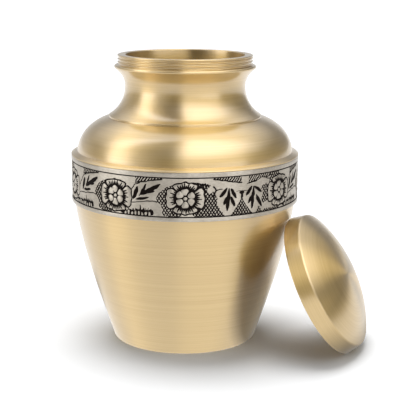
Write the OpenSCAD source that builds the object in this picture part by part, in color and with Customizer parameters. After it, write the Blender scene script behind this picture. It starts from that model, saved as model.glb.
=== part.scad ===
// Small brass cremation urn with an engraved metal band and a screw lid.
// The lid is off and leans on the urn's side, its open face to the wall.
// Millimetres, +Z up. The origin is the centre of the foot, on the floor.
// Angles called lean are counted from upright, outwards positive.

/* [Foot and belly] */
// Diameter at which the outside of the wall would meet the floor
foot_d = 70.2; // [56:0.2:86]
// Rounding cut taken off the edge of the foot, along each face
foot_edge = 0.9; // [0.4:0.1:1.5]
// Height of the belly, from the floor to the lower edge of the band
belly_h = 69.3; // [55:0.1:85]
// How far the lower handle of the belly's curve stands out from a straight wall
belly_low_fullness = 1.55; // [0:0.05:3]
// How far the upper handle of the belly's curve stands out from a straight wall
belly_high_fullness = 3.4; // [0:0.05:4]
// Thickness of the turned wall
wall = 2.0; // [1.2:0.1:2.6]
// Thickness of the floor above the groove in the underside
floor_t = 2.5; // [1.5:0.1:4]
// Width of the ring that the foot stands on
foot_ring_w = 5.6; // [4:0.1:8]
// Width and depth of the groove turned in the underside, inside that ring
groove_w = 4.5; // [2:0.1:8]
groove_depth = 0.8; // [0.4:0.1:1.2]

/* [Band] */
// Outside diameter of the band, the widest part of the urn
band_d = 110.6; // [90:0.2:134]
// Height of the band
band_h = 22.3; // [16:0.1:30]
// Thickness of the band's metal
band_t = 1.3; // [0.8:0.1:1.8]
// Clearance between the band and its seat, on every side
band_fit = 0.05; // [0.02:0.01:0.1]
// Width of the plain border above and below the engraving
band_border = 2.2; // [1.5:0.1:3]
// Width and depth of the cut line that edges each border
border_line_w = 0.36; // [0.2:0.02:0.6]
border_line_depth = 0.2; // [0.1:0.05:0.4]

/* [Shoulder] */
// Upright height of the brass ledge above the band
ledge_h = 0.35; // [0.2:0.05:1]
// Rise of the ledge's rounded top, and its width
ledge_rise = 1.3; // [1:0.1:3]
ledge_w = 2.9; // [1.5:0.1:4]
// Rise of the shoulder, from the ledge to the step below the neck
shoulder_rise = 16.3; // [12:0.1:22]
// Lean of the shoulder's side just above the ledge, and the pull of its curve there
shoulder_side_lean = -6; // [-15:1:0]
shoulder_side_pull = 8.4; // [5:0.1:10]
// Lean of the shoulder's top just below the step, and the pull of its curve there
shoulder_top_lean = -75; // [-80:1:-65]
shoulder_top_pull = 8.6; // [5:0.1:11]

/* [Neck] */
// Diameter and height of the small step where the neck's flare ends
step_d = 74; // [62:0.2:89]
step_h = 0.8; // [0.2:0.05:1]
// Diameter of the narrowest part of the neck
neck_d = 58.2; // [48:0.2:70]
// Rise from the step to the narrowest part of the neck
neck_rise = 13.9; // [10:0.1:18]
// Lean of the neck's flare where it meets the step
flare_lean = -59; // [-65:1:-45]
// Rise from the narrowest part of the neck to the top of the lip
lip_rise = 10.2; // [8.5:0.1:13]
// How far the lip that the lid closes on stands out from the collar
lip_w = 1.6; // [1.2:0.1:3]
// Radius of the lip's rounded edge
lip_edge = 0.85; // [0.4:0.05:1.2]
// Lean of the neck's upper flare where it runs into the lip
lip_lean = 50; // [40:1:58]

/* [Mouth and thread] */
// Height of the threaded collar above the lip
collar_h = 4.9; // [4:0.1:7]
// Diameter over the crests of the collar's thread
collar_d = 65.2; // [54:0.2:79]
// Pitch and depth of the thread, drawn as closed rings
thread_pitch = 1.47; // [1:0.01:2]
thread_depth = 0.45; // [0.2:0.05:0.6]
// Distance from the rim down to the first crest
thread_lead = 1.35; // [1:0.05:2]
// Radial clearance between the two threads
thread_fit = 0.25; // [0.1:0.05:0.4]
// Thickness of the collar at the rim, over the thread's crests
rim_wall = 3.8; // [2:0.1:4.6]
// Depth of the straight bore inside the mouth
mouth_depth = 5.5; // [4:0.1:7]
// Cut taken off the edges of the rim
rim_edge = 0.3; // [0.1:0.05:0.5]

/* [Lid] */
// Thickness of the lid's skirt outside its thread, at the open edge
skirt_wall = 2.2; // [1.2:0.05:2.6]
// How much narrower the skirt's radius is where the dome begins
skirt_taper = 1.4; // [0:0.05:1.6]
// How much taller the skirt is than the collar it closes over
skirt_room = 2.5; // [1.8:0.1:4]
// Rise of the dome above the skirt
dome_rise = 7.8; // [5:0.1:12]
// Rise of the dome's surface above level where it leaves the skirt, in degrees
dome_angle = 29; // [20:1:40]
// Thickness of the dome
lid_wall = 1.6; // [1:0.1:2]
// Cut taken off the edge between skirt and dome, and off the open edge
lid_edge = 0.7; // [0.3:0.05:1]
lid_lip_edge = 0.4; // [0.2:0.05:0.6]
// Lean of the lid, whose open edge rests on the urn
lid_lean = 27.6; // [15:0.1:35]
// Side of the urn that the lid leans on, counted from +X
lid_side = -19.5; // [-60:1:60]
// Gap left between the lid's edge and the urn's wall
lid_gap = 0.3; // [0.2:0.05:0.5]

/* [Hidden] */
$fn = 128;
BRASS = [0.80, 0.66, 0.40];
SILVER = [0.72, 0.70, 0.66];
CURVE_STEPS = 14;         // straight pieces in each long curve
EDGE_STEPS = 4;           // straight pieces in each rounded edge
CREST_SHARE = 0.07;       // half a thread crest's flat, as a share of the pitch
FLANK_SHARE = 0.37;       // half a thread ridge's foot, as a share of the pitch
FLARE_PULL = 0.41;        // handle of each neck curve, as a share of its rise

band_r = band_d / 2;
seat_r = band_r - band_t - band_fit;
foot_r = foot_d / 2;
step_r = step_d / 2;
neck_r = neck_d / 2;
collar_r = collar_d / 2;
lip_r = collar_r + lip_w;
thread_root_r = collar_r - thread_depth;
mouth_r = collar_r - rim_wall;
lid_bore_r = collar_r + thread_fit;
lid_r = lid_bore_r + skirt_wall;
dome_r = lid_r - skirt_taper;
skirt_h = collar_h + skirt_room;
groove_outer_r = foot_r - foot_ring_w;
groove_inner_r = groove_outer_r - groove_w;

floor_z = groove_depth + floor_t;
ledge_z = belly_h + band_h + band_fit;
shoulder_z = ledge_z + ledge_h + ledge_rise;
shoulder_top_z = shoulder_z + shoulder_rise;
step_z = shoulder_top_z + step_h;
neck_z = step_z + neck_rise;
lip_z = neck_z + lip_rise;
rim_z = lip_z + collar_h;

// Direction of travel at a lean from upright
function heading(lean) = [sin(lean), cos(lean)];
function unit(v) = v / norm(v);
// The four handles of a curve from a to b, leaving and arriving at given leans
function handles(a, lean_a, pull_a, b, lean_b, pull_b) =
    [a, a + pull_a * heading(lean_a), b - pull_b * heading(lean_b), b];
function on_curve(h, t) = pow(1 - t, 3) * h[0] + 3 * t * pow(1 - t, 2) * h[1]
    + 3 * t * t * (1 - t) * h[2] + pow(t, 3) * h[3];
function along_curve(h, t) = pow(1 - t, 2) * (h[1] - h[0])
    + 2 * t * (1 - t) * (h[2] - h[1]) + t * t * (h[3] - h[2]);
// Points of a curve from t = from on, moved to the left of travel by inset
function trace(h, inset = 0, from = 0) = [
    for (i = [0 : CURVE_STEPS])
        let (t = from + (1 - from) * i / CURVE_STEPS, v = unit(along_curve(h, t)))
        on_curve(h, t) + inset * [-v.y, v.x]
];
// Points that round the corner at q, between p and r, by a cut along each side
function round_corner(p, q, r, cut) =
    let (a = q + cut * unit(p - q), b = q + cut * unit(r - q))
    [for (i = [0 : EDGE_STEPS])
        let (t = i / EDGE_STEPS) pow(1 - t, 2) * a + 2 * t * (1 - t) * q + t * t * b];
function reversed(points) = [for (i = [len(points) - 1 : -1 : 0]) points[i]];

// The belly's height grows evenly along its curve, so its radius follows from a height
belly = [
    [foot_r, 0],
    [foot_r + (seat_r - foot_r) / 3 + belly_low_fullness, belly_h / 3],
    [foot_r + (seat_r - foot_r) * 2 / 3 + belly_high_fullness, belly_h * 2 / 3],
    [seat_r, belly_h]
];
function belly_r(z) = on_curve(belly, z / belly_h).x;
belly_foot_lean = atan((belly[1].x - foot_r) / belly[1].y);
belly_start = 0.02;       // share of the belly's curve taken up by the foot's edge

ledge_in = [band_r - ledge_w, shoulder_z];
ledge = handles([band_r, ledge_z + ledge_h], -30, ledge_rise * 0.4,
                ledge_in, -65, ledge_w * 0.4);
shoulder = handles(ledge_in, shoulder_side_lean, shoulder_side_pull,
                   [step_r, shoulder_top_z], shoulder_top_lean, shoulder_top_pull);
lower_flare = handles([step_r, step_z], flare_lean, FLARE_PULL * neck_rise,
                      [neck_r, neck_z], 0, FLARE_PULL * neck_rise);
lip_centre = [lip_r - lip_edge, lip_z - lip_edge];
lip_start = lip_centre + lip_edge * [cos(lip_lean), -sin(lip_lean)];
upper_flare = handles([neck_r, neck_z], 0, FLARE_PULL * lip_rise,
                      lip_start, lip_lean, FLARE_PULL * lip_rise * 0.9);
// Inside the neck the wall thickens upwards, to carry the thread
throat_rise = lip_z - neck_z - mouth_depth + collar_h;
throat = handles([neck_r - wall, neck_z], 0, throat_rise / 2,
                 [mouth_r, rim_z - mouth_depth], 0, throat_rise / 3);

crest_flat = CREST_SHARE * thread_pitch;
ridge_foot = FLANK_SHARE * thread_pitch;
thread_rings = floor((collar_h - thread_lead - ridge_foot) / thread_pitch) + 1;
// Outline of one thread ridge, going up, from a root radius to a crest radius
function ridge(root, crest, z) = [
    [root, z - ridge_foot], [crest, z - crest_flat],
    [crest, z + crest_flat], [root, z + ridge_foot]
];

outside = concat(
    [[0, 0], [groove_inner_r, 0], [groove_inner_r, groove_depth],
     [groove_outer_r, groove_depth], [groove_outer_r, 0]],
    round_corner([0, 0], [foot_r, 0], [foot_r, 0] + heading(belly_foot_lean), foot_edge),
    trace(belly, from = belly_start),
    [[seat_r, ledge_z], [band_r, ledge_z]],
    trace(ledge),
    trace(shoulder),
    trace(lower_flare),
    trace(upper_flare, from = 1 / CURVE_STEPS),
    [for (i = [1 : EDGE_STEPS])
        let (a = -lip_lean + (90 + lip_lean) * i / EDGE_STEPS)
        lip_centre + lip_edge * [cos(a), sin(a)]],
    [[thread_root_r, lip_z]],
    [for (i = [thread_rings - 1 : -1 : 0])
        each ridge(thread_root_r, collar_r, rim_z - thread_lead - i * thread_pitch)],
    [[collar_r, rim_z - rim_edge - crest_flat]],
    round_corner([collar_r, 0], [collar_r, rim_z], [0, rim_z], rim_edge)
);
inside = concat(
    [[0, floor_z], [belly_r(floor_z) - wall / cos(belly_foot_lean), floor_z]],
    trace(belly, inset = wall, from = 3 * belly_start),
    [[seat_r - wall, ledge_z - band_fit]],
    trace(shoulder, inset = wall),
    trace(lower_flare, inset = wall),
    trace(throat, from = 1 / CURVE_STEPS),
    round_corner([mouth_r, 0], [mouth_r, rim_z], [collar_r, rim_z], rim_edge)
);

module urn_body() {
    color(BRASS) rotate_extrude() polygon(concat(outside, reversed(inside)));
}

module engraved_band() {
    inner_r = seat_r + band_fit;
    line_z = [band_border, band_h - band_border];
    color(SILVER) translate([0, 0, belly_h]) difference() {
        rotate_extrude() polygon([
            [inner_r, 0], [band_r - border_line_depth, 0], [band_r, border_line_depth],
            [band_r, band_h - border_line_depth], [band_r - border_line_depth, band_h],
            [inner_r, band_h]
        ]);
        for (z = line_z) rotate_extrude() polygon([
            [band_r - border_line_depth, z],
            [band_r + border_line_depth, z - border_line_w],
            [band_r + border_line_depth, z + border_line_w]
        ]);
    }
}

// The lid is drawn open edge down with its axis upright, then leant until its open
// edge is lid_gap from the belly, or from the band if it reaches that high
dome_lean = dome_angle - 90;
dome = handles([dome_r, skirt_h], dome_lean, dome_r * 0.36,
               [0, skirt_h + dome_rise], -90, dome_r * 0.41);
dome_start = 0.12;        // share of the dome's curve left solid over the skirt
lid_outside = concat(
    round_corner([0, 0], [lid_r, 0], [lid_r, skirt_h], lid_lip_edge),
    round_corner([lid_r, 0], dome[0], dome[1], lid_edge),
    trace(dome, from = 0.04)
);
lid_inside = concat(
    [[lid_bore_r, 0]],
    [for (i = [thread_rings - 1 : -1 : 0])
        each ridge(lid_bore_r, lid_bore_r - thread_depth,
                   collar_h - thread_lead - i * thread_pitch)],
    [[lid_bore_r, skirt_h - lid_wall]],
    trace(dome, inset = lid_wall, from = dome_start)
);
function side_r(z) = z < belly_h ? belly_r(z) : band_r;
lid_centre_z = max([for (p = lid_outside) p.x * cos(lid_lean) - p.y * sin(lid_lean)]);
lid_centre_x = lid_gap + max([for (p = lid_outside)
    side_r(lid_centre_z + p.x * cos(lid_lean) + p.y * sin(lid_lean))
    + p.x * sin(lid_lean) - p.y * cos(lid_lean)]);

module lid() {
    color(BRASS)
        rotate([0, 0, lid_side])
            translate([lid_centre_x, 0, lid_centre_z])
                rotate([0, 90 - lid_lean, 0])
                    rotate_extrude() polygon(concat(lid_outside, reversed(lid_inside)));
}

urn_body();
engraved_band();
lid();
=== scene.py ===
# %% [markdown]
# # A small brass urn with an engraved band
# The urn is three things on the bench: a vessel and a lid that were both turned on a lathe,
# and a silver-coloured band that was engraved flat and bent round the vessel. The packed
# model already holds their true sizes, so every piece here is drawn to the same values, in
# millimetres, and turned into metres at the last step.

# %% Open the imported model
import math

import bpy
import numpy as np
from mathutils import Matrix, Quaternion, Vector


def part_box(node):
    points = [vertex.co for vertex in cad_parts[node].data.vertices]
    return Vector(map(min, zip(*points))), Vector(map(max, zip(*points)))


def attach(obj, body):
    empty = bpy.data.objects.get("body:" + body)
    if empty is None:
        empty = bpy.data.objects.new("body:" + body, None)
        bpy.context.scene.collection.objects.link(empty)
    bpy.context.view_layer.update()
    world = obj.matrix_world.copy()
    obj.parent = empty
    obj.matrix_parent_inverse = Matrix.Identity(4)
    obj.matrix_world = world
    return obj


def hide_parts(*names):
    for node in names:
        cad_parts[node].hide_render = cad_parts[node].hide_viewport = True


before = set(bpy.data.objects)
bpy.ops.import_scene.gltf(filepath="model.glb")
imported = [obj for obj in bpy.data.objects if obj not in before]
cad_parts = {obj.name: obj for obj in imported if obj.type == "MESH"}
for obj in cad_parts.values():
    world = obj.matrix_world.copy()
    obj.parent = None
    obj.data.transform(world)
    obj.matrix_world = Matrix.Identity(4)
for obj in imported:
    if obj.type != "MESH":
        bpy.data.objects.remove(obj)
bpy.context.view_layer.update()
MM = 0.001
scene = bpy.context.scene

# %% [markdown]
# ## The camera
# A long lens stands a little above the urn and looks slightly down, so the mouth shows as
# a thin ellipse. It is set first, because every later choice is judged through it.

# %% Set the camera
LENS_MM = 98.4
CAMERA_BACK = 0.550
CAMERA_HEIGHT = 0.1852
LOOK_DOWN = math.radians(12.46)
LOOK_RIGHT = math.radians(1.19)
CAMERA_ROLL = math.radians(0.4)

look = Vector((
    math.sin(LOOK_RIGHT) * math.cos(LOOK_DOWN),
    math.cos(LOOK_RIGHT) * math.cos(LOOK_DOWN),
    -math.sin(LOOK_DOWN),
))
bpy.ops.object.select_all(action="DESELECT")
bpy.ops.object.camera_add(location=(0, -CAMERA_BACK, CAMERA_HEIGHT))
camera = bpy.context.object
camera.rotation_mode = "QUATERNION"
camera.rotation_quaternion = look.to_track_quat("-Z", "Y") @ Quaternion((0, 0, 1), CAMERA_ROLL)
camera.data.lens = LENS_MM
camera.data.sensor_width = 36
camera.data.clip_start = 0.01
camera.data.clip_end = 50
scene.camera = camera
print("camera at", [round(v, 3) for v in camera.location])

# %% [markdown]
# ## Drawing a profile
# A turned piece is one outline swept round an axis. The outline could be a Bezier curve
# object, but its points have to be dense where it bends and sparse where it is straight.
# So each curve is worked out from four handles, and the points are then drawn one after
# another by extruding a single vertex, as one would click them.

# %% Curves for a profile
def heading(lean):
    """Direction of travel at a lean from upright, outwards positive, in (radius, height)."""
    return np.array([math.sin(math.radians(lean)), math.cos(math.radians(lean))])


def bezier(a, b, c, d, steps):
    """Points of a curve with handles a, b, c and d, without the first one."""
    t = np.arange(1, steps + 1)[:, None] / steps
    a, b, c, d = (np.array(p, float) for p in (a, b, c, d))
    return (1 - t) ** 3 * a + 3 * t * (1 - t) ** 2 * b + 3 * t * t * (1 - t) * c + t ** 3 * d


def leaning(a, lean_a, pull_a, b, lean_b, pull_b, steps):
    """A curve that leaves a and reaches b at given leans."""
    a, b = np.array(a, float), np.array(b, float)
    return bezier(a, a + pull_a * heading(lean_a), b - pull_b * heading(lean_b), b, steps)


def straight(a, b, steps=1):
    """Points of a straight line, without the first one."""
    t = np.arange(1, steps + 1)[:, None] / steps
    return np.array(a, float) * (1 - t) + np.array(b, float) * t


def rounded(before, corner, after, cut, steps=5):
    """A corner between two neighbours, rounded by a cut along each side."""
    q = np.array(corner, float)
    to_a = np.array(before, float) - q
    to_b = np.array(after, float) - q
    a = q + cut * to_a / np.linalg.norm(to_a)
    b = q + cut * to_b / np.linalg.norm(to_b)
    return np.vstack([a, bezier(a, a + (q - a) * 0.6, b + (q - b) * 0.6, b, steps)])


def inset(points, depth):
    """The same line moved to the left of its travel."""
    way = np.gradient(points, axis=0)
    way /= np.linalg.norm(way, axis=1)[:, None]
    return points + depth * np.stack([-way[:, 1], way[:, 0]], axis=1)


# %% [markdown]
# ## Small tools for every piece
# An operator acts on all that is selected, so each step begins by selecting just what it
# needs. Thousands of vertices are read into an array and written back all at once, because
# moving them one by one is slow.

# %% Helpers for any piece
def new_piece(name):
    """Names the object that was just added, and its mesh."""
    piece = bpy.context.object
    piece.name = name
    piece.data.name = name
    return piece


def select_only(piece):
    """Selects one object and makes it the active one."""
    bpy.ops.object.select_all(action="DESELECT")
    piece.select_set(True)
    bpy.context.view_layer.objects.active = piece


def vertex_array(piece):
    """The piece's vertices as an array."""
    co = np.empty(len(piece.data.vertices) * 3)
    piece.data.vertices.foreach_get("co", co)
    return co.reshape(-1, 3)


def move_vertices(piece, co):
    """Puts the piece's vertices where the array says."""
    piece.data.vertices.foreach_set("co", co.ravel())
    piece.data.update()


def face_corners(mesh):
    """Which vertex stands at each corner of each face."""
    corner = np.empty(len(mesh.loops), int)
    mesh.loops.foreach_get("vertex_index", corner)
    return corner


# %% [markdown]
# ## The lathe
# A turned piece is round because it spins against a still tool. Here the profile does the
# spinning: it goes once round Z in small steps, and the seam where it meets its own start
# is merged away.

# %% Turn a profile on the lathe
def turn(name, profile, steps):
    """Draws a profile as a chain of vertices, spins it round Z and closes it."""
    start = Vector((profile[0][0], 0, profile[0][1])) * MM
    bpy.ops.object.select_all(action="DESELECT")
    bpy.ops.mesh.primitive_plane_add(size=0.01, location=(0, 0, 0))
    piece = new_piece(name)
    bpy.ops.object.mode_set(mode="EDIT")
    bpy.ops.mesh.merge(type="CENTER")
    bpy.ops.transform.translate(value=start)
    for (r0, z0), (r1, z1) in zip(profile[:-1], profile[1:]):
        step = Vector((r1 - r0, 0, z1 - z0)) * MM
        bpy.ops.mesh.extrude_region_move(TRANSFORM_OT_translate={"value": step})
    bpy.ops.object.mode_set(mode="OBJECT")
    along = np.r_[0, np.cumsum(np.linalg.norm(np.diff(profile, axis=0), axis=1))]
    mark = piece.data.attributes.new("along", "FLOAT", "POINT")
    mark.data.foreach_set("value", along)
    bpy.ops.object.mode_set(mode="EDIT")
    bpy.ops.mesh.select_all(action="SELECT")
    bpy.ops.mesh.spin(steps=steps, angle=2 * math.pi, center=(0, 0, 0), axis=(0, 0, 1))
    bpy.ops.mesh.select_all(action="SELECT")
    bpy.ops.mesh.remove_doubles(threshold=0.000002)
    bpy.ops.mesh.normals_make_consistent(inside=False)
    bpy.ops.object.mode_set(mode="OBJECT")
    print(name, "turned:", len(piece.data.vertices), "vertices,",
          len(piece.data.polygons), "faces")
    return piece


# %% [markdown]
# ## The direction of the turning marks
# A brushed metal stretches its highlights across the marks that the cloth left. The shader
# has to know which way those marks run. A UV map tells it: U goes once round the axis and
# V runs along the profile, so U is the direction of the marks on every turned face, on the
# leaning lid as well.

# %% Unwrap a turned piece round its axis
V_MM = 100.0


def unwrap_round(piece):
    """A UV map with U round Z and V along the profile. The piece still stands on its axis."""
    mesh = piece.data
    co = vertex_array(piece)
    corner = face_corners(mesh)
    first = np.empty(len(mesh.polygons), int)
    count = np.empty(len(mesh.polygons), int)
    mesh.polygons.foreach_get("loop_start", first)
    mesh.polygons.foreach_get("loop_total", count)
    middle = np.empty(len(mesh.polygons) * 3)
    mesh.polygons.foreach_get("center", middle)
    middle = middle.reshape(-1, 3)
    corner_order = np.argsort(np.repeat(first, count), kind="stable")
    face = np.repeat(np.arange(len(count)), count)[corner_order]
    base = np.arctan2(middle[:, 1], middle[:, 0])[face]
    point = co[corner]
    turn_by = np.arctan2(point[:, 1], point[:, 0]) - base
    turn_by = (turn_by + math.pi) % (2 * math.pi) - math.pi
    on_axis = np.hypot(point[:, 0], point[:, 1]) < 0.00001
    turn_by[on_axis] = 0
    along = np.empty(len(mesh.vertices))
    mesh.attributes["along"].data.foreach_get("value", along)
    uv = np.stack([(base + turn_by) / (2 * math.pi), along[corner] / V_MM], axis=1)
    layer = mesh.uv_layers.new(name="turned")
    layer.data.foreach_set("uv", uv.ravel())


# %% [markdown]
# ## The vessel
# The real vessel is cast in brass, then turned inside and out and brushed while it spins.
# It has a small foot, a belly that widens to the band, a rounded ledge, a domed shoulder,
# a little step, a flared neck and a rounded lip under a threaded collar. A solid of
# revolution could also come from the Screw modifier; spinning in edit mode gives plain
# faces at once, and the thread can then be cut into them.

# %% Sizes of the vessel
FOOT_R, FOOT_EDGE = 35.1, 0.9
BELLY_H, WALL, FLOOR_Z = 69.3, 2.0, 3.3
BELLY_LOW_FULLNESS, BELLY_HIGH_FULLNESS = 1.55, 3.4
GROOVE_IN, GROOVE_OUT, GROOVE_DEPTH = 25.0, 29.5, 0.8
BAND_R, BAND_H, BAND_SEAT_R, BAND_GAP = 55.3, 22.3, 53.95, 0.05
LEDGE_Z = BELLY_H + BAND_H + BAND_GAP
LEDGE_UP, LEDGE_RISE, LEDGE_W = 0.35, 1.3, 2.9
SHOULDER_RISE, STEP_H, NECK_RISE, LIP_RISE = 16.3, 0.8, 13.9, 10.2
SHOULDER_Z = LEDGE_Z + LEDGE_UP + LEDGE_RISE
SHOULDER_TOP_Z = SHOULDER_Z + SHOULDER_RISE
STEP_R, STEP_Z = 37.0, SHOULDER_TOP_Z + STEP_H
NECK_R, NECK_Z = 29.1, STEP_Z + NECK_RISE
LIP_R, LIP_Z, LIP_EDGE, LIP_LEAN = 34.2, NECK_Z + LIP_RISE, 0.85, 50
COLLAR_R, COLLAR_H = 32.6, 4.9
RIM_Z, RIM_EDGE = LIP_Z + COLLAR_H, 0.35
MOUTH_R, MOUTH_DEPTH = 28.8, 5.5
LEDGE_LEANS, SHOULDER_LEANS, FLARE_LEAN = (-30, -65), (-6, -75), -59
SHOULDER_PULLS, THROAT_PULLS, FLARE_PULL = (8.4, 8.6), (4.8, 3.2), 0.41
VESSEL_STEPS = 256
print("vessel height, mm:", round(RIM_Z, 2))

# %% Draw and turn the vessel
belly_a = [FOOT_R, 0]
belly_b = [FOOT_R + (BAND_SEAT_R - FOOT_R) / 3 + BELLY_LOW_FULLNESS, BELLY_H / 3]
belly_c = [FOOT_R + (BAND_SEAT_R - FOOT_R) * 2 / 3 + BELLY_HIGH_FULLNESS, BELLY_H * 2 / 3]
belly_d = [BAND_SEAT_R, BELLY_H]
belly = bezier(belly_a, belly_b, belly_c, belly_d, 60)
ledge_in = [BAND_R - LEDGE_W, SHOULDER_Z]
ledge = leaning([BAND_R, LEDGE_Z + LEDGE_UP], LEDGE_LEANS[0], LEDGE_RISE * 0.4,
                ledge_in, LEDGE_LEANS[1], LEDGE_W * 0.4, 12)
shoulder = leaning(ledge_in, SHOULDER_LEANS[0], SHOULDER_PULLS[0],
                   [STEP_R, SHOULDER_TOP_Z], SHOULDER_LEANS[1], SHOULDER_PULLS[1], 36)
lower_flare = leaning([STEP_R, STEP_Z], FLARE_LEAN, FLARE_PULL * NECK_RISE,
                      [NECK_R, NECK_Z], 0, FLARE_PULL * NECK_RISE, 24)
lip_centre = np.array([LIP_R - LIP_EDGE, LIP_Z - LIP_EDGE])
lip_angles = np.radians(np.linspace(-LIP_LEAN, 90, 13))
lip_round = lip_centre + LIP_EDGE * np.stack([np.cos(lip_angles), np.sin(lip_angles)], axis=1)
upper_flare = leaning([NECK_R, NECK_Z], 0, FLARE_PULL * LIP_RISE,
                      lip_round[0], LIP_LEAN, FLARE_PULL * LIP_RISE * 0.9, 18)
throat = leaning([NECK_R - WALL, NECK_Z], 0, THROAT_PULLS[0],
                 [MOUTH_R, RIM_Z - MOUTH_DEPTH], 0, THROAT_PULLS[1], 12)
outside = np.vstack([
    [[0, 0]], straight([0, 0], [GROOVE_IN, 0], 5), [[GROOVE_IN, GROOVE_DEPTH]],
    straight([GROOVE_IN, GROOVE_DEPTH], [GROOVE_OUT, GROOVE_DEPTH], 2), [[GROOVE_OUT, 0]],
    rounded([0, 0], [FOOT_R, 0], belly_b, FOOT_EDGE, 6),
    belly[1:], [[BAND_SEAT_R, LEDGE_Z]],
    rounded([BAND_SEAT_R, LEDGE_Z], [BAND_R, LEDGE_Z], [BAND_R, LEDGE_Z + LEDGE_UP], 0.12, 3),
    [[BAND_R, LEDGE_Z + LEDGE_UP]], ledge, shoulder,
    rounded(shoulder[-2], [STEP_R, SHOULDER_TOP_Z], [STEP_R, STEP_Z], 0.12, 2)[1:],
    rounded([STEP_R, SHOULDER_TOP_Z], [STEP_R, STEP_Z], lower_flare[0], 0.15, 3),
    lower_flare, upper_flare[:-1], lip_round,
    [[COLLAR_R + 0.25, LIP_Z]], straight([COLLAR_R, LIP_Z + 0.05], [COLLAR_R, RIM_Z - RIM_EDGE], 44),
    rounded([COLLAR_R, 0], [COLLAR_R, RIM_Z], [0, RIM_Z], RIM_EDGE)[1:],
])
inside = np.vstack([
    [[0, FLOOR_Z], [18, FLOOR_Z]],
    rounded([0, FLOOR_Z], [FOOT_R - WALL + 1.0, FLOOR_Z], belly_b, 1.2, 4),
    inset(belly[4::3], WALL), [[BAND_SEAT_R - WALL, LEDGE_Z]],
    inset(shoulder[::2], WALL), inset(lower_flare[::2], WALL), throat,
    rounded([MOUTH_R, 0], [MOUTH_R, RIM_Z], [COLLAR_R, RIM_Z], RIM_EDGE),
])
vessel = turn("urn_vessel", np.vstack([outside, inside[::-1]]), VESSEL_STEPS)

# %% [markdown]
# ## The thread
# The collar was threaded on the lathe: a tool that moves up by one pitch for each turn
# leaves a single helical groove. A Screw modifier could sweep such a ridge, but it would
# then have to be joined to the collar at both ends. Here the collar's own vertices move in
# by the depth of the cut, by their height and their angle, and the groove fades out under
# the rim, so the vessel stays one closed skin.

# %% Cut the threads
PITCH, THREAD_DEPTH, THREAD_LEAD = 1.47, 0.55, 1.35
CREST, ROOT = 0.12, 0.72


def smooth(x, low, high):
    """0 below low, 1 above high, and an even slope between."""
    t = np.clip((x - low) / (high - low), 0, 1)
    return t * t * (3 - 2 * t)


def cut_thread(piece, radius, low, high, lead_from):
    """Moves the wall at that radius inwards by the depth of a helical groove."""
    co = vertex_array(piece) / MM
    r = np.hypot(co[:, 0], co[:, 1])
    angle = np.arctan2(co[:, 1], co[:, 0]) / (2 * math.pi)
    wall = (abs(r - radius) < 0.02) & (co[:, 2] > low) & (co[:, 2] < high)
    from_crest = abs(((lead_from - co[:, 2]) / PITCH + angle + 0.5) % 1 - 0.5) * 2
    cut = THREAD_DEPTH * smooth(from_crest, CREST, ROOT)
    cut *= smooth(high - co[:, 2], 0.1, 0.5)
    scale = np.where(wall, 1 - cut / np.maximum(r, 1), 1)
    co[:, :2] *= scale[:, None]
    move_vertices(piece, co * MM)
    print(piece.name, "thread cut on", int(wall.sum()), "vertices")


cut_thread(vessel, COLLAR_R, LIP_Z, RIM_Z - RIM_EDGE - 0.05, RIM_Z - THREAD_LEAD)
unwrap_round(vessel)

# %% [markdown]
# ## The lid
# The lid is turned in the same way: a low skirt with a thread inside, a softly rounded
# edge and a shallow dome. It is drawn open edge down, as it would sit on the urn, then
# leant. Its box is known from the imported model, so after the two turns it is moved by the
# difference between the two boxes and lands exactly where the model has it.

# %% Draw and turn the lid
LID_R, LID_BORE_R, SKIRT_H, DOME_RISE = 35.05, 32.85, 7.4, 7.8
DOME_R, DOME_LEAN, LID_WALL = LID_R - 1.4, -61, 1.6
LID_EDGE, LID_LIP_EDGE = 0.7, 0.4
LID_STEPS = 224
lid_dome = leaning([DOME_R, SKIRT_H], DOME_LEAN, DOME_R * 0.36,
                   [0, SKIRT_H + DOME_RISE], -90, DOME_R * 0.41, 56)
lid_outside = np.vstack([
    rounded([0, 0], [LID_R, 0], [DOME_R, SKIRT_H], LID_LIP_EDGE),
    straight([LID_R, LID_LIP_EDGE], [DOME_R + 0.15, SKIRT_H - 0.8], 10)[:-1],
    rounded([LID_R, 0], [DOME_R, SKIRT_H], lid_dome[4], LID_EDGE, 8),
    lid_dome[2:],
])
lid_inside = np.vstack([
    [[LID_BORE_R + 0.15, 0], [LID_BORE_R, 0.15]],
    straight([LID_BORE_R, 0.15], [LID_BORE_R, SKIRT_H - LID_WALL], 44),
    inset(lid_dome[8::3], LID_WALL)[:-1], [[0, SKIRT_H + DOME_RISE - LID_WALL]],
])
lid = turn("lid_turned", np.vstack([lid_inside[::-1], lid_outside]), LID_STEPS)
cut_thread(lid, LID_BORE_R, 0.2, COLLAR_H + 0.2, COLLAR_H - THREAD_LEAD)
unwrap_round(lid)

# %% Lean the lid where the model has it
LID_LEAN, LID_SIDE = 27.6, -19.5
select_only(lid)
lid.rotation_mode = "XYZ"
lid.rotation_euler = (0, math.radians(90 - LID_LEAN), math.radians(LID_SIDE))
bpy.ops.object.transform_apply(location=False, rotation=True, scale=False)
lid_low, lid_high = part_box("lid")
leant = vertex_array(lid)
lid_centre = (np.array(lid_low + lid_high) - (leant.min(0) + leant.max(0))) / 2
lid.location = lid_centre
bpy.ops.object.transform_apply(location=True, rotation=False, scale=False)
print("lid's open edge is centred at, mm:", [round(v / MM, 2) for v in lid_centre])

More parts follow.
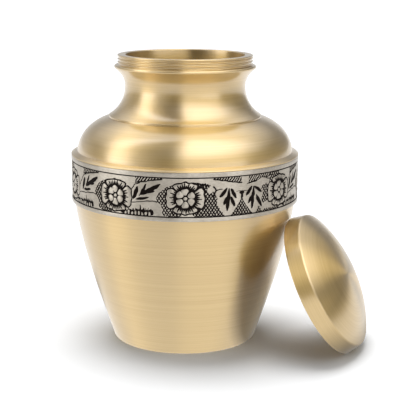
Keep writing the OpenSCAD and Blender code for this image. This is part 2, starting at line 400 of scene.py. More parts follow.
# %% [markdown]
# ## The engraved band
# The band is a strip of silver-coloured metal, engraved with flowers, sprigs and cross
# hatching, blackened in the cuts and bent round the vessel. An engraver cuts lines of a
# fraction of a millimetre, thousands of them, which no one would extrude by hand. A bump
# map would look right from the front only. So the strip starts as a flat grid, fine enough
# for the lines, each of its vertices is lowered where the drawing is cut, and the strip is
# then bent. The same drawing is kept as an attribute, which blackens the cuts.

# %% An unsteady hand
LINE_SOFT, UNSTEADY, LEAF_FULLNESS = 0.11, 0.045, 0.66
rng = np.random.default_rng(7)
WOBBLE = [(rng.uniform(0.5, 2.2), rng.uniform(0.5, 2.2), rng.uniform(0, 6.28), rng.uniform(0, 6.28))
          for _ in range(6)]


def wobble(s, y):
    """Moves the drawing a little, as an engraver's hand does."""
    ds = sum(np.sin(a * s + b * y + c) for a, b, c, d in WOBBLE) * UNSTEADY
    dy = sum(np.sin(b * s - a * y + d) for a, b, c, d in WOBBLE) * UNSTEADY
    return s + ds, y + dy


print("waves in the hand's drift:", len(WOBBLE))


# %% Outlines and distances
def outline(points, rounds=2):
    """A closed outline with its corners rounded."""
    p = np.array(points, float)
    for _ in range(rounds):
        after = np.roll(p, -1, axis=0)
        p = np.stack([p * 0.75 + after * 0.25, p * 0.25 + after * 0.75], axis=1).reshape(-1, 2)
    return p


def to_segment(s, y, start, end):
    """How far the points lie from a straight piece of line, and how far along it."""
    (s0, y0), (s1, y1) = start, end
    ds, dy = s1 - s0, y1 - y0
    t = np.clip(((s - s0) * ds + (y - y0) * dy) / (ds * ds + dy * dy + 1e-9), 0, 1)
    return np.hypot(s - s0 - t * ds, y - y0 - t * dy), t


# %% The drawing
class Drawing:
    """What is cut into the strip: ink is 1 in a cut, swell raises a soft shape a little."""

    def __init__(self, s, y):
        self.s, self.y = wobble(s, y)
        self.ink = np.zeros(len(s))
        self.swell = np.zeros(len(s))

    def near(self, low, high, room=1.0):
        """The points in a box."""
        return np.flatnonzero((self.s > low[0] - room) & (self.s < high[0] + room)
                              & (self.y > low[1] - room) & (self.y < high[1] + room))

    def depth_in(self, shape):
        """The points near a closed outline, and how far inside it they are."""
        at = self.near(shape.min(0), shape.max(0))
        s, y = self.s[at], self.y[at]
        best = np.full(len(at), 9.0)
        inside_shape = np.zeros(len(at), bool)
        for (s0, y0), (s1, y1) in zip(shape, np.roll(shape, -1, axis=0)):
            best = np.minimum(best, to_segment(s, y, (s0, y0), (s1, y1))[0])
            over = (y0 > y) != (y1 > y)
            if y1 != y0:
                inside_shape ^= over & (s < s0 + (y - y0) * (s1 - s0) / (y1 - y0))
        return at, np.where(inside_shape, best, -best)

    def fill(self, points, rounds=2, clear=False, edge=0.0, swell=0.0, ink=None):
        """Cuts a shape away, or clears it. ink limits the cut, and edge draws a rim."""
        at, depth = self.depth_in(outline(points, rounds))
        body = smooth(depth, -LINE_SOFT, LINE_SOFT)
        if clear:
            self.ink[at] *= 1 - body
            self.swell[at] = np.maximum(self.swell[at], swell * smooth(depth, 0, 1.1))
        else:
            self.ink[at] = np.maximum(self.ink[at], body if ink is None else body * ink[at])
        if edge:
            rim = smooth(edge / 2 - abs(depth + edge / 2), -LINE_SOFT, LINE_SOFT)
            self.ink[at] = np.maximum(self.ink[at], rim)

    def line(self, points, width=0.4, end=None):
        """A cut along a line, from one width to another."""
        p = np.array(points, float)
        end = width if end is None else end
        at = self.near(p.min(0), p.max(0))
        s, y = self.s[at], self.y[at]
        lengths = np.r_[0, np.cumsum(np.linalg.norm(np.diff(p, axis=0), axis=1))]
        for i, (p0, p1) in enumerate(zip(p[:-1], p[1:])):
            far, t = to_segment(s, y, p0, p1)
            way = (lengths[i] + t * (lengths[i + 1] - lengths[i])) / lengths[-1]
            half = (width + (end - width) * way) / 2
            self.ink[at] = np.maximum(self.ink[at], smooth(half - far, -LINE_SOFT, LINE_SOFT))

    def leaf(self, base, tip, width):
        """A leaf cut away, slim at its base and blunter at its tip."""
        a, b = np.array(base, float), np.array(tip, float)
        along = b - a
        across = np.array([-along[1], along[0]]) / np.linalg.norm(along) * width * LEAF_FULLNESS
        self.fill([a + across * 0.3, a + along * 0.3 + across * 0.95, a + along * 0.75 + across,
                   b + across * 0.35, b - across * 0.35, a + along * 0.75 - across,
                   a + along * 0.3 - across * 0.95, a - across * 0.3])


def hatching(s, y, pitch=1.2, slope=1.45, width=0.48):
    """Crossed lines, 1 where they are cut."""
    lean = math.hypot(1, slope)
    steep = abs(((y - slope * s) / lean / pitch + 0.5) % 1 - 0.5) * pitch
    other = abs(((y + slope * s) / lean / pitch + 0.5) % 1 - 0.5) * pitch
    return smooth(width / 2 - np.minimum(steep, other), -LINE_SOFT, LINE_SOFT)


# %% [markdown]
# ## Motifs
# The real band repeats a few motifs: a round flower on cross hatching, a sprig of pointed
# leaves over a ragged black strip, and a pair of hanging leaf sprays. They could be cut one
# by one, but as functions each is drawn once and set down wherever it is needed. In each,
# the places are millimetres to the right of a flower's middle, and up from the band's edge.

# %% The flower
PETAL_FOOT, PETAL_CORNER, RING_R, HUB_R = 4.4, 8.3, (5.15, 4.95), 0.95
BROAD_PETALS = ((90, 47, 7.0), (0, 36, 8.5), (-90, 47, 7.0), (180, 36, 8.5))
SMALL_PETAL = ((-24, 1.6), (-28, 3.1), (-22, 4.3), (0, 4.5), (22, 4.3), (28, 3.1), (24, 1.6), (0, 1.35))


def polar(y, degrees, r):
    """The point at an angle and a distance from a flower's middle, which is y up."""
    w = math.radians(degrees)
    return [r * math.cos(w), y + r * math.sin(w)]


def flower(d, y):
    """A round flower: six small petals in a ring, and four broad ones with cut strokes."""
    for turned, half, middle in BROAD_PETALS:
        petal = [polar(y, turned + share * half, r) for share, r in (
            (-1, PETAL_CORNER), (-0.6, middle + 0.5), (-0.3, middle - 0.1), (0, middle + 0.3),
            (0.3, middle - 0.1), (0.6, middle + 0.5), (1, PETAL_CORNER),
            (0.95, PETAL_FOOT), (0, PETAL_FOOT - 0.3), (-0.95, PETAL_FOOT))]
        d.fill(petal, clear=True, edge=0.6, swell=1.0)
        for a in np.arange(6 - half, half - 3, 9.0):
            stroke_end = PETAL_FOOT + 2.2 + 0.6 * math.sin(a * 1.7)
            d.line([polar(y, turned + a, PETAL_FOOT), polar(y, turned + a, stroke_end)], 1.0, 0.3)
    d.fill([[RING_R[0] * math.cos(w), y + RING_R[1] * math.sin(w)]
            for w in np.radians(np.arange(0, 360, 30))])
    for a in range(30, 390, 60):
        turned = a + 4 * math.sin(a)
        d.fill([polar(y, turned + b, r) for b, r in SMALL_PETAL], clear=True, swell=1.0)
    d.fill([polar(y, a, HUB_R) for a in range(0, 360, 60)], clear=True, swell=1.0)


print("broad petals on a flower:", len(BROAD_PETALS))


# %% Leaf sprays and ropes
def spray(d, s, y, leaves):
    """Leaves that hang from one point, each from its base to its tip, and its width."""
    for (s0, y0), (s1, y1), width in (*leaves, ((0.1, -0.2), (-0.9, -10.6), 1.35)):
        d.leaf([s + s0, y + y0], [s + s1, y + y1], width)


def rope(d, low, high, tall_low, tall_high, top=19.7):
    """A strip of slanting bars under the top line, tapered."""
    shape = [[low, top], [high, top], [high, top - tall_high], [low, top - tall_low]]
    bars = smooth(0.28 - abs(((d.s - 0.75 * d.y) / 1.35 + 0.5) % 1 - 0.5), -0.12, 0.12)
    d.fill(shape, rounds=0, ink=bars)
    d.line([[low, top - tall_low], [high, top - tall_high]], 0.5)


# %% The sprig, on the left of a flower
SPRIG_LEAVES = (((-24.2, 9.4), (-22.0, 15.6), 1.5), ((-21.2, 11.0), (-17.8, 16.9), 1.0),
                ((-20.9, 11.6), (-11.2, 17.0), 1.5), ((-18.0, 12.7), (-13.8, 13.9), 0.7),
                ((-23.0, 9.6), (-16.7, 10.7), 0.9))
SPRIG_GROUND = [[-13.6, 9.3], [-12.6, 12.6], [-9.5, 15.2], [-5, 17.3], [0, 17.2], [0, 2.1],
                [-10.6, 2.1], [-10.4, 7.2]]
CELL_PITCH = 1.7


def sprig_part(d, hatch, room=0):
    """From a plain ground to a flower's hatching. room is how much wider this one is."""
    left = -31 - room
    top = 4.6 + 0.45 * math.sin(room) + 0.35 * np.sin(d.s * 5.1) + 0.3 * np.sin(d.s * 3.3 + 1)
    top += 0.9 * smooth(d.s, -27, -18)
    slits = smooth(0.15 - abs((d.s / 1.75 + 0.22 * d.y) % 1 - 0.5), -0.06, 0.06)
    slits *= smooth(d.y, 3.6, 4.6) * smooth(d.y, 4.6, 5.2)
    ragged = smooth(top - d.y, -0.15, 0.15) * (1 - slits * 0.9)
    d.fill([[left, 2.1], [-14.8, 2.1], [-14.3, 4.2], [-15.4, 6.2], [-20, 6.6], [left, 5.4]],
           rounds=1, ink=ragged)
    for k in range(int((15.2 + room) / CELL_PITCH)):
        at = -16.4 - CELL_PITCH * k
        tall = 3.75 + 0.25 * math.sin(k * 2.3)
        d.fill([[at - 0.5, 2.3], [at + 0.45, 2.3], [at + 0.5, tall], [at - 0.1, tall + 0.35],
                [at - 0.5, tall]], rounds=1, clear=True, swell=0.6)
    d.line([[-21, 7.0], [-20.5, 5.0]], 0.35, 0.5)
    d.line([[-28 - room, 7.4], [-22, 8.4], [-15, 9.3], [-11.5, 8.6], [-9.6, 7.2]], 0.3, 0.4)
    for base, tip, width in SPRIG_LEAVES:
        d.leaf(base, tip, width)
    d.line([[-25.6 - room, 10.2], [-25.2, 13.8], [-23.2, 16.3], [-21, 17.2]], 0.35, 0.45)
    rope(d, -23.2, -10.6, 2.5, 0.35)
    d.fill(SPRIG_GROUND, rounds=1, clear=True)
    d.fill(SPRIG_GROUND, rounds=1, ink=hatch)


print("leaves on a sprig:", len(SPRIG_LEAVES))


# %% The two sprays, on the right of a flower
LEFT_SPRAY = (((-0.9, 0), (-4.3, -4.1), 1.25), ((0.9, -0.4), (3.8, -5.1), 1.1),
              ((-0.6, -4), (-2.5, -7.6), 1.2), ((0.8, -4), (2.8, -8.6), 1.15))
RIGHT_SPRAY = (((-0.9, -0.2), (-4.0, -4.2), 1.25), ((0.4, -0.3), (4.9, -3.5), 1.1),
               ((-0.7, -4.4), (-2.9, -7.9), 1.2), ((1.3, -4.3), (5.0, -10.2), 1.15))


def spray_part(d, hatch):
    """From a flower to the next one on its right: hatching and two sprays of leaves."""
    d.fill([[0, 17.2], [5.4, 17.4], [9.6, 16.6], [10.4, 15.4], [13, 14.6], [13.6, 12],
            [14.6, 9.5], [14.2, 7.6], [17.6, 3.0], [18, 2.1], [0, 2.1]], rounds=1, ink=hatch)
    for k in range(5):
        d.line([[5.4 + k * 1.15, 17.3 - k * 0.1], [6.2 + k * 1.15, 14.4 + k * 0.2]], 0.8, 0.5)
    d.fill([[9.8, 15.4], [12.4, 16], [13, 13.8], [11, 12.4], [9.6, 13.4]], clear=True)
    d.line([[-4.5, 17.2], [0, 17.5], [5, 17.8], [8.5, 16.9], [11.2, 16.3]], 0.42)
    d.line([[12.8, 15.9], [13.9, 14.2], [13.3, 12.2], [12.4, 11.2]], 0.7, 0.4)
    d.line([[13.8, 14.3], [16.6, 14.5]], 0.5, 0.4)
    spray(d, 20.1, 15, LEFT_SPRAY)
    spray(d, 33.0, 15, RIGHT_SPRAY)
    d.fill([[26.6, 10.2], [29, 6.2], [32.6, 2.1], [20.8, 2.1], [24, 6.2]], rounds=0, ink=hatch)
    d.line([[26.7, 13.0], [26.6, 10.4]], 0.8, 1.1)
    d.fill([[25.0, 12.9], [28.2, 13.0], [27.4, 11.6], [26.0, 11.5]])
    d.line([[23.8, 13.1], [29.6, 13.1]], 0.2)
    rope(d, 12.8, 26.4, 0.5, 2.9)
    rope(d, 30.2, 43.5, 3.3, 1.2)
    d.fill([[29, 16.2], [33.5, 16.4], [38.5, 18.6], [43.5, 16.8], [38.5, 14.6], [33, 14.6]],
           rounds=1, clear=True)
    d.line([[29.4, 16.2], [33.5, 16.6], [38.4, 18.5], [43.4, 16.8]], 0.3)
    d.fill([[36.8, 14.2], [42.8, 15.6], [43.2, 7.4], [38.5, 6.0], [37.4, 8.0], [39.2, 11]],
           rounds=1, ink=hatch)
    for corners in ([[36.2, 5.6], [38.6, 2.1], [34.2, 2.1]],
                    [[38.8, 2.1], [38.8, 3.4], [50.3, 3.4], [50.3, 2.1]],
                    [[42.8, 15], [43.2, 19.7], [50.3, 19.7], [50.3, 10]]):
        d.fill(corners, rounds=0, ink=hatch)


print("leaves on the two sprays:", len(LEFT_SPRAY) + len(RIGHT_SPRAY) + 2)


# %% [markdown]
# ## The drawing round the band
# Four flowers show in front, each at its own place along the band. Between two flowers lies
# either a sprig on a plain ground or a wide cell with two sprays. The pattern runs on behind
# the vessel in the same order, a little squeezed, so that it closes without a gap. Each cell
# is drawn from its own flower, and the flowers come last, on top of what lies under them.

# %% Lay out the drawing round the band
AROUND = 2 * math.pi * BAND_R
SPRIG_CELL, SPRAY_CELL = 33.9, 50.3
FLOWERS_IN_FRONT = (-70.4, -33.7, 0.2, 50.5)
KINDS = ("sprig", "sprig", "spray")
SQUEEZE = (AROUND - (FLOWERS_IN_FRONT[3] - FLOWERS_IN_FRONT[0])) / (2 * (2 * SPRIG_CELL + SPRAY_CELL))
FLOWER_Y, FLOWER_DRIFT = 10.6, 0.4
LOW_LINE, HIGH_LINE = 2.1, 19.95
REACH = 20


def cells_round():
    """Each cell's two ends, how far it is squeezed, and what it holds."""
    ends = zip(FLOWERS_IN_FRONT[:-1], FLOWERS_IN_FRONT[1:], KINDS)
    cells = [(left, right, 1.0, kind) for left, right, kind in ends]
    at = FLOWERS_IN_FRONT[-1]
    for kind in KINDS * 2:
        wide = (SPRIG_CELL if kind == "sprig" else SPRAY_CELL) * SQUEEZE
        cells.append((at, at + wide, SQUEEZE, kind))
        at += wide
    return cells


def laps_near(left, right, s):
    """The laps, one back, none or one on, that bring a stretch within reach of the points."""
    return [lap for lap in (-AROUND, 0, AROUND)
            if left + lap <= s.max() + REACH and right + lap >= s.min() - REACH]


def draw_band(s, y):
    """The whole drawing at the points (s, y): the depth of the cut, and the soft swell."""
    d = Drawing(s, y)
    hatch = hatching(d.s, d.y)
    true_s = d.s
    cells = cells_round()
    for left, right, squeeze, kind in cells:
        for lap in laps_near(left, right, true_s):
            anchor = (right if kind == "sprig" else left) + lap
            d.s = (true_s - anchor) / squeeze
            if kind == "sprig":
                sprig_part(d, hatch, max(0, (right - left) / squeeze - SPRIG_CELL))
            else:
                spray_part(d, hatch)
    for left, right, squeeze, kind in cells:
        for lap in laps_near(left, left, true_s):
            d.s = (true_s - left - lap) / squeeze
            flower(d, FLOWER_Y + FLOWER_DRIFT * math.sin(left))
    d.s = true_s
    low_line = smooth(0.24 - abs(y - LOW_LINE), -0.1, 0.1)
    high_line = smooth(0.22 - abs(y - HIGH_LINE), -0.1, 0.1)
    between = smooth(y, 1.9, 2.1) * smooth(20.1 - y, 0, 0.2)
    ink = np.maximum(d.ink * between, np.maximum(low_line, high_line))
    return ink, d.swell * between * (1 - d.ink)


print("cells round the band:", len(cells_round()), "squeezed behind to", round(SQUEEZE, 3))

# %% [markdown]
# ## From a strip to a band
# The real band is engraved flat, because a graver needs a firm flat sheet, and its ends are
# joined behind the vessel. Here the flat strip is a grid. Its points are lowered by the
# drawing, its open edges are pulled back to give it a thickness, the back is closed, and the
# whole strip is bent. Three strips of a third each keep every mesh to a size that is easy to
# handle. Their edges meet, so no joint shows.

# %% Sizes of the strip
CUT_DEPTH, SWELL, BAND_EDGE, BAND_BACK = 0.28, 0.12, 0.3, 1.25
ROWS = np.r_[0, 0.06, 0.16, BAND_EDGE, 0.9, 1.5, np.arange(1.8, 20.35, 0.165), 20.8, 21.4,
             BAND_H - BAND_EDGE, BAND_H - 0.16, BAND_H - 0.06, BAND_H]
COLUMNS = 680
THIRD = AROUND / 3
print("strip's grid:", COLUMNS, "by", len(ROWS) - 1, "faces,", round(THIRD, 1), "mm long")


# %% Give the strip its thickness
def select_open_edges():
    """In edit mode, selects the edges that have a face on one side only."""
    bpy.ops.mesh.select_all(action="DESELECT")
    bpy.ops.mesh.select_non_manifold(use_wire=False, use_boundary=True, use_multi_face=False,
                                     use_non_contiguous=False, use_verts=False)


def give_back(piece, front_count):
    """Pulls the open edges back, flattens the new ones and closes the strip behind."""
    bpy.ops.object.mode_set(mode="EDIT")
    bpy.ops.mesh.select_mode(type="EDGE")
    select_open_edges()
    bpy.ops.mesh.extrude_edges_move(TRANSFORM_OT_translate={"value": (0, 0, -BAND_BACK * MM)})
    bpy.ops.object.mode_set(mode="OBJECT")
    co = vertex_array(piece)
    back = np.arange(len(co)) >= front_count
    co[back, 2] = -BAND_BACK * MM
    move_vertices(piece, co)
    for edge in piece.data.edges:
        a, b = edge.vertices
        edge.select = bool(back[a] and back[b] and co[a][1] == co[b][1])
    bpy.ops.object.mode_set(mode="EDIT")
    bpy.ops.mesh.bridge_edge_loops()
    select_open_edges()
    bpy.ops.mesh.fill_holes(sides=0)
    bpy.ops.mesh.select_all(action="SELECT")
    bpy.ops.mesh.normals_make_consistent(inside=False)
    bpy.ops.object.mode_set(mode="OBJECT")


# %% Cut and bend one third of the band
def band_third(name, middle):
    """A flat strip, cut by the drawing, given its back and bent round the vessel."""
    bpy.ops.object.select_all(action="DESELECT")
    bpy.ops.mesh.primitive_grid_add(x_subdivisions=COLUMNS, y_subdivisions=len(ROWS) - 1, size=1)
    piece = new_piece(name)
    co = vertex_array(piece)
    row = np.rint((co[:, 1] + 0.5) * (len(ROWS) - 1)).astype(int)
    s = middle + co[:, 0] * THIRD
    y = ROWS[row]
    ink, swell = draw_band(s, y)
    from_edge = np.minimum(y, BAND_H - y)
    past_edge = np.maximum(0, BAND_EDGE - from_edge)
    rounding = BAND_EDGE - np.sqrt(np.maximum(0, BAND_EDGE ** 2 - past_edge ** 2))
    depth = ink * CUT_DEPTH + rounding + SWELL * (1 - swell) * smooth(from_edge, 2.2, 2.6)
    move_vertices(piece, np.stack([s, y, -depth], axis=1) * MM)
    oxide = piece.data.attributes.new("oxide", "FLOAT", "POINT")
    oxide.data.foreach_set("value", ink)
    give_back(piece, len(s))
    co = vertex_array(piece) / MM
    layer = piece.data.uv_layers[0]
    layer.name = "turned"
    layer.data.foreach_set("uv", (co[face_corners(piece.data)][:, :2] / (AROUND, V_MM)).ravel())
    angle = co[:, 0] / BAND_R
    radius = BAND_R + co[:, 2]
    bent = np.stack([radius * np.sin(angle), -radius * np.cos(angle), BELLY_H + co[:, 1]], axis=1)
    move_vertices(piece, bent * MM)
    print(name, "made:", len(piece.data.polygons), "faces")
    return piece


band = [band_third("band_front", 0), band_third("band_right", THIRD), band_third("band_left", -THIRD)]

# %% [markdown]
# ## Smooth shading
# Every piece is smooth, but the step, the rim and the cuts have true edges. Faces that
# meet at more than a set angle keep a hard edge between them.

# %% Smooth the pieces
TURNED_EDGE, CUT_EDGE = math.radians(35), math.radians(50)
for piece in (vessel, lid, *band):
    select_only(piece)
    bpy.ops.object.shade_smooth_by_angle(angle=CUT_EDGE if piece in band else TURNED_EDGE)
    print(piece.name, "shaded smooth")

# %% [markdown]
# ## Turning marks
# Cloth held against spinning metal leaves fine rings that never quite repeat. The vessel
# and the lid share them, so they are one node group. Rings come from noise that changes
# fast along the profile and slowly round it. The U of the map is wound into a circle
# first, so the rings close without a seam.

# %% Node helpers
def add(tree, kind, label="", inputs=(), **settings):
    """A node with its settings, and its inputs linked or set."""
    node = tree.nodes.new(kind)
    node.label = label
    for name, value in settings.items():
        setattr(node, name, value)
    for key, value in dict(inputs).items():
        if isinstance(value, bpy.types.NodeSocket):
            tree.links.new(value, node.inputs[key])
        else:
            node.inputs[key].default_value = value
    return node


def math_node(tree, operation, a, b=0.0):
    """A Math node's result."""
    return add(tree, "ShaderNodeMath", operation=operation, inputs={0: a, 1: b}).outputs[0]


def times(tree, a, b):
    """Two values multiplied."""
    return math_node(tree, "MULTIPLY", a, b)


def mix_colour(tree, share, a, b):
    """From colour a to colour b, by a share."""
    return add(tree, "ShaderNodeMix", data_type="RGBA", inputs={0: share, 6: a, 7: b}).outputs[2]


def ramp(tree, fac, stops):
    """A Color Ramp on a value, from (place, colour) stops."""
    node = add(tree, "ShaderNodeValToRGB", inputs={0: fac})
    marks = node.color_ramp.elements
    while len(marks) < len(stops):
        marks.new(1.0)
    for mark, (place, colour) in zip(marks, stops):
        mark.position = place
        mark.color = (*colour, 1) if isinstance(colour, tuple) else (colour, colour, colour, 1)
    return node.outputs[0]


def new_material(name):
    """A material, its tree and its main shader."""
    material = bpy.data.materials.new(name)
    material.use_nodes = True
    return material, material.node_tree, material.node_tree.nodes["Principled BSDF"]


# %% Build the turning marks group
marks_group = bpy.data.node_groups.new("turning marks", "ShaderNodeTree")
for socket_name, socket_default in (("Rings per mm", 3.0), ("Drift", 2.0)):
    socket = marks_group.interface.new_socket(socket_name, in_out="INPUT", socket_type="NodeSocketFloat")
    socket.default_value = socket_default
for socket_name in ("Fine", "Broad"):
    marks_group.interface.new_socket(socket_name, in_out="OUTPUT", socket_type="NodeSocketFloat")
group_in = add(marks_group, "NodeGroupInput")
group_out = add(marks_group, "NodeGroupOutput")
around_uv = add(marks_group, "ShaderNodeUVMap", uv_map="turned")
split = add(marks_group, "ShaderNodeSeparateXYZ", inputs={0: around_uv.outputs[0]})
turned = times(marks_group, split.outputs[0], 2 * math.pi)
drift = group_in.outputs["Drift"]
round_x = times(marks_group, math_node(marks_group, "COSINE", turned), drift)
round_y = times(marks_group, math_node(marks_group, "SINE", turned), drift)
along_mm = times(marks_group, split.outputs[1], V_MM)
for output_name, fineness, detail in (("Fine", 1.0, 3.0), ("Broad", 0.4, 2.0)):
    rings = times(marks_group, times(marks_group, along_mm, group_in.outputs["Rings per mm"]), fineness)
    place = add(marks_group, "ShaderNodeCombineXYZ", inputs={0: round_x, 1: round_y, 2: rings})
    noise = add(marks_group, "ShaderNodeTexNoise", output_name,
                inputs={"Vector": place.outputs[0], "Scale": 1.0, "Detail": detail, "Roughness": 0.6})
    marks_group.links.new(noise.outputs["Fac"], group_out.inputs[output_name])
print("turning marks group has", len(marks_group.nodes), "nodes")

# %% [markdown]
# ## Satin brass under lacquer
# The brass is bare metal under a clear lacquer. The metal is brushed, so it spreads a
# reflection across its marks and keeps it narrow along them: that draws the upright
# streaks. The lacquer adds a soft, white gloss on top. Both come from one Principled
# shader, with anisotropy along the UV map's tangent and a full coat of its own roughness.

# %% Make the brass
BRASS_LIGHT = (0.68, 0.475, 0.178)
BRASS_DEEP = (0.58, 0.39, 0.125)
# Painted shade: the deep brown that the brass turns in its hollows and creases.
BRASS_HOLLOW_SHADE = (0.45, 0.29, 0.11)
RINGS_PER_MM, RING_DRIFT = 3.2, 0.5
LACQUER_IOR, LACQUER_ROUGHNESS = 2.2, 0.22
BRASS_BRUSHED, SILVER_BRUSHED, QUARTER_TURN = 0.93, 0.85, 0.25


def brush(tree, shader, strength):
    """Stretches the metal's highlights across its turning marks."""
    tangent = add(tree, "ShaderNodeTangent", direction_type="UV_MAP", uv_map="turned")
    tree.links.new(tangent.outputs[0], shader.inputs["Tangent"])
    shader.inputs["Anisotropic"].default_value = strength
    shader.inputs["Anisotropic Rotation"].default_value = QUARTER_TURN


def make_brass(name):
    """Satin brass for one turned piece."""
    material, tree, shader = new_material(name)
    marks = add(tree, "ShaderNodeGroup", node_tree=marks_group,
                inputs={"Rings per mm": RINGS_PER_MM, "Drift": RING_DRIFT})
    fine, broad = marks.outputs["Fine"], marks.outputs["Broad"]
    mixed = math_node(tree, "ADD", times(tree, fine, 0.55), times(tree, broad, 0.45))
    colour = ramp(tree, mixed, [(0.3, BRASS_DEEP), (0.7, BRASS_LIGHT)])
    where = add(tree, "ShaderNodeNewGeometry")
    # Painted shade: where pointiness is low, in hollows and creases such as the thread's grooves, the
    # colour darkens to a deep brown.
    corner = ramp(tree, where.outputs["Pointiness"], [(0.40, 1.0), (0.485, 0.0)])
    shade_in_hollows = mix_colour(tree, corner, colour, (*BRASS_HOLLOW_SHADE, 1))
    tree.links.new(shade_in_hollows, shader.inputs["Base Color"])
    rough = math_node(tree, "ADD", times(tree, fine, 0.14), 0.33)
    tree.links.new(rough, shader.inputs["Roughness"])
    bump = add(tree, "ShaderNodeBump", inputs={"Strength": 0.10, "Distance": 0.00006, "Height": mixed})
    tree.links.new(bump.outputs[0], shader.inputs["Normal"])
    brush(tree, shader, BRASS_BRUSHED)
    shader.inputs["Metallic"].default_value = 1.0
    shader.inputs["Coat Weight"].default_value = 1.0
    shader.inputs["Coat IOR"].default_value = LACQUER_IOR
    shader.inputs["Coat Roughness"].default_value = LACQUER_ROUGHNESS
    print(name, "made")
    return material


brass_urn = make_brass("satin brass, vessel")
brass_lid = make_brass("satin brass, lid")

# %% [markdown]
# ## Silver and its black cuts
# The band is a white metal with a fine rolled grain, and the cuts hold a dull black. The
# drawing made with the strip decides which is which, so the colour can't slide off the
# relief.

# %% Make the engraved silver
SILVER = (0.37, 0.33, 0.275)
SILVER_LIGHT = (0.60, 0.55, 0.475)
BLACK = (0.008, 0.005, 0.004)
GRAIN_PER_M = (700, 700, 2600)

silver, tree, shader = new_material("engraved silver")
place = add(tree, "ShaderNodeTexCoord")
stretched = add(tree, "ShaderNodeMapping", inputs={0: place.outputs["Object"], 3: GRAIN_PER_M})
grain = add(tree, "ShaderNodeTexNoise", "rolled grain",
            inputs={"Vector": stretched.outputs[0], "Scale": 1.0, "Detail": 4.0, "Roughness": 0.7})
clouds = add(tree, "ShaderNodeTexNoise", "hand wear",
             inputs={"Vector": place.outputs["Object"], "Scale": 160.0, "Detail": 3.0})
tone = math_node(tree, "ADD", times(tree, grain.outputs["Fac"], 0.6),
                 times(tree, clouds.outputs["Fac"], 0.4))
bare = ramp(tree, tone, [(0.35, SILVER), (0.65, SILVER_LIGHT)])
oxide = add(tree, "ShaderNodeAttribute", attribute_name="oxide")
cut = ramp(tree, oxide.outputs["Fac"], [(0.15, 0.0), (0.55, 1.0)])
tree.links.new(mix_colour(tree, cut, bare, (*BLACK, 1)), shader.inputs["Base Color"])
tree.links.new(math_node(tree, "SUBTRACT", 1.0, cut), shader.inputs["Metallic"])
rough = math_node(tree, "ADD", times(tree, grain.outputs["Fac"], 0.2), 0.28)
rough = math_node(tree, "ADD", rough, times(tree, cut, 0.3))
tree.links.new(rough, shader.inputs["Roughness"])
bump = add(tree, "ShaderNodeBump", inputs={"Strength": 0.25, "Distance": 0.00005, "Height": tone})
tree.links.new(bump.outputs[0], shader.inputs["Normal"])
shader.inputs["Specular IOR Level"].default_value = 0.08
brush(tree, shader, SILVER_BRUSHED)
print("engraved silver made")

# %% [markdown]
# ## Which piece gets which finish
# The vessel and the lid left the lathe together and get the same brass, made once for each.
# All three thirds of the band share the silver, or their joints would show as a change of tone.

# %% Put the finishes on
finishes = {vessel: brass_urn, lid: brass_lid, **{third: silver for third in band}}
for piece, material in finishes.items():
    piece.data.materials.clear()
    piece.data.materials.append(material)
    print(piece.name, "wears", material.name)

# %% [markdown]
# ## The floor
# A plain white sweep of paper. It has to be wide, because the camera looks almost along it
# and it fills most of what lies behind the urn. Polished metal also shows the paper back.
# Bounced light would draw that, with the urn's own shadow in it, and the belly would come
# out too dark. So the metal sees an even glow instead, with two dark patches beside the
# urn, one at its right and one behind it at the left, which draw the dark streaks low down.

# %% Lay the floor
PAPER_SIZE, PAPER_BACK, PAPER_GLOW = 40, 12, 1.15
FLOOR_SEEN = (
    (-180, 1.0), (-166, 0.35), (-130, 0.35), (-112, 1.0), (42, 1.0), (62, 0.28), (112, 0.28), (140, 1.0),
)
PATCH_INNER, PATCH_OUTER = 0.09, 0.12


def compass_share(tree, split):
    """How far round the compass a place or a direction lies: half way is the camera's side."""
    compass = math_node(tree, "ARCTAN2", split.outputs[0], times(tree, split.outputs[1], -1.0))
    return math_node(tree, "ADD", math_node(tree, "DIVIDE", compass, 2 * math.pi), 0.5)


def compass_ramp(tree, share, levels, brightest=1.0):
    """A level for each way round, from (degrees to the right of the camera's side, level)."""
    return ramp(tree, share, [((angle + 180) / 360, level / brightest) for angle, level in levels])


bpy.ops.object.select_all(action="DESELECT")
bpy.ops.mesh.primitive_plane_add(size=PAPER_SIZE, location=(0, PAPER_BACK, 0))
floor = bpy.context.object
floor.name = "paper_floor"
bpy.ops.object.transform_apply(location=True, rotation=False, scale=False)
paper, tree, shader = new_material("white paper")
fibre = add(tree, "ShaderNodeTexNoise", "paper fibre", inputs={"Scale": 900.0, "Detail": 2.0})
fibres = ramp(tree, fibre.outputs["Fac"], [(0.3, (0.84, 0.87, 0.905)), (0.7, (0.86, 0.89, 0.925))])
tree.links.new(fibres, shader.inputs["Base Color"])
shader.inputs["Roughness"].default_value = 0.9
shader.inputs["Specular IOR Level"].default_value = 0.1
point = add(tree, "ShaderNodeTexCoord")
split = add(tree, "ShaderNodeSeparateXYZ", inputs={0: point.outputs["Object"]})
wedge = compass_ramp(tree, compass_share(tree, split), FLOOR_SEEN)
reach = add(tree, "ShaderNodeVectorMath", operation="LENGTH", inputs={0: point.outputs["Object"]})
near = ramp(tree, reach.outputs["Value"], [(PATCH_INNER, 1.0), (PATCH_OUTER, 0.0)])
seen_paper = mix_colour(tree, near, (1, 1, 1, 1), wedge)
glow = add(tree, "ShaderNodeEmission", "paper as the metal sees it",
           inputs={"Color": seen_paper, "Strength": PAPER_GLOW})
path = add(tree, "ShaderNodeLightPath")
seen = add(tree, "ShaderNodeMixShader",
           inputs={0: path.outputs["Is Glossy Ray"], 1: shader.outputs[0], 2: glow.outputs[0]})
tree.links.new(seen.outputs[0], tree.nodes["Material Output"].inputs["Surface"])
floor.data.materials.append(paper)
print("paper laid, metres across:", PAPER_SIZE)

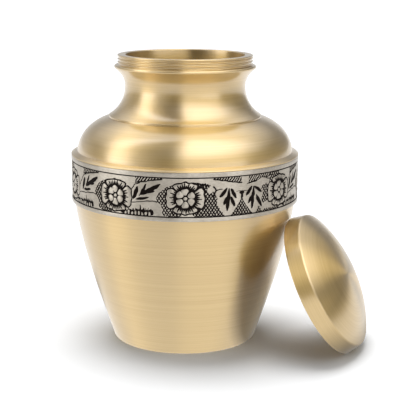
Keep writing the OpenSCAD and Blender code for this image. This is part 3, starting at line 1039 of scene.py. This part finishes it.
# %% [markdown]
# ## Light
# Polished metal shows the room more than the lamps. The urn stood in a white tent: a tall
# soft light on the left, a wide one on the right, and two gaps between them that make the
# dark streaks. The tent is drawn as the world's colour by compass direction and height, so
# each streak has one stop on a ramp. The camera sees plain white behind the urn, and light
# that has been scattered once is weaker, or the shadows would fill up. One wide sun
# overhead, which the metal doesn't reflect, gives the floor its soft shadows.

# %% Pitch the tent
TENT_LOW = (
    (-180, 0.7), (-135, 0.6), (-110, 0.3), (-92, 0.35), (-84, 3.2), (-66, 2.8), (-54, 1.0), (-40, 0.4),
    (-26, 0.1), (-12, 0.1), (0, 1.0), (20, 1.3), (40, 1.8), (62, 1.8), (72, 0.2), (118, 0.1), (150, 0.2),
    (166, 0.9), (180, 0.7),
)
TENT_MID = (
    (-180, 0.35), (-135, 0.5), (-110, 0.3), (-96, 0.5), (-88, 2.3), (-70, 2.1), (-58, 0.8), (-40, 0.4),
    (-26, 0.1), (-12, 0.1), (0, 0.9), (24, 0.7), (60, 0.7), (76, 0.2), (120, 0.2), (150, 0.3), (180, 0.35),
)
TENT_HIGH = (
    (-180, 1.4), (-140, 1.5), (-116, 1.3), (-104, 2.9), (-86, 2.9), (-74, 0.7), (-50, 0.35), (-14, 0.35),
    (0, 2.8), (40, 2.9), (78, 2.7), (94, 2.3), (110, 1.4), (126, 1.2), (140, 1.4), (180, 1.4),
)
BRIGHTEST, AMBIENT = 5.0, 1.8
world = bpy.data.worlds.new("white tent")
scene.world = world
world.use_nodes = True
tree = world.node_tree
direction = add(tree, "ShaderNodeTexCoord")
split = add(tree, "ShaderNodeSeparateXYZ", inputs={0: direction.outputs["Generated"]})
share = compass_share(tree, split)
low, mid, high = (compass_ramp(tree, share, levels, BRIGHTEST)
                  for levels in (TENT_LOW, TENT_MID, TENT_HIGH))
to_mid = ramp(tree, split.outputs[2], [(0.10, 0.0), (0.28, 1.0)])
to_high = ramp(tree, split.outputs[2], [(0.36, 0.0), (0.74, 1.0)])
tent = mix_colour(tree, to_high, mix_colour(tree, to_mid, low, mid), high)
background = tree.nodes["Background"]
path = add(tree, "ShaderNodeLightPath")
behind = mix_colour(tree, path.outputs["Is Camera Ray"], tent, (1, 1, 1, 1))
tree.links.new(behind, background.inputs["Color"])
scattered = math_node(tree, "MINIMUM", path.outputs["Diffuse Depth"], 1.0)
strength = math_node(tree, "SUBTRACT", BRIGHTEST, times(tree, scattered, BRIGHTEST - AMBIENT))
tree.links.new(strength, background.inputs["Strength"])
print("tent pitched with", len(TENT_LOW) + len(TENT_MID) + len(TENT_HIGH), "levels")

# %% Hang the overhead light
SUN_LEAN, SUN_SIDE, SUN_WIDTH = math.radians(-11), math.radians(-5), math.radians(38)
SUN_POWER, SUN_COLOUR = 2.8, (1.0, 0.965, 0.93)
bpy.ops.object.light_add(type="SUN", location=(0, 0.4, 1.0))
overhead = bpy.context.object
overhead.name = "overhead_light"
overhead.rotation_euler = (SUN_LEAN, SUN_SIDE, 0)
overhead.data.angle = SUN_WIDTH
overhead.data.energy = SUN_POWER
overhead.data.color = SUN_COLOUR
overhead.visible_glossy = False
print("overhead light hung, degrees wide:", round(math.degrees(SUN_WIDTH)))

# %% [markdown]
# ## How light becomes colour
# A film-like curve would turn the white paper grey and pale the brass. The plain one keeps
# white paper white, so the light alone decides how bright everything is.

# %% Set how light becomes colour
scene.view_settings.view_transform = "Standard"
scene.view_settings.look = "None"
scene.view_settings.exposure = 0.0
print("view transform:", scene.view_settings.view_transform)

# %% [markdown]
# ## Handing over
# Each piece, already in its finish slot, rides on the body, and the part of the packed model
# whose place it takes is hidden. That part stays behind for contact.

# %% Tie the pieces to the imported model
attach(vessel, "root")
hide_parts("urn_body")
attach(lid, "root")
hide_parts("lid")
for third in band:
    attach(third, "root")
    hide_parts("engraved_band")
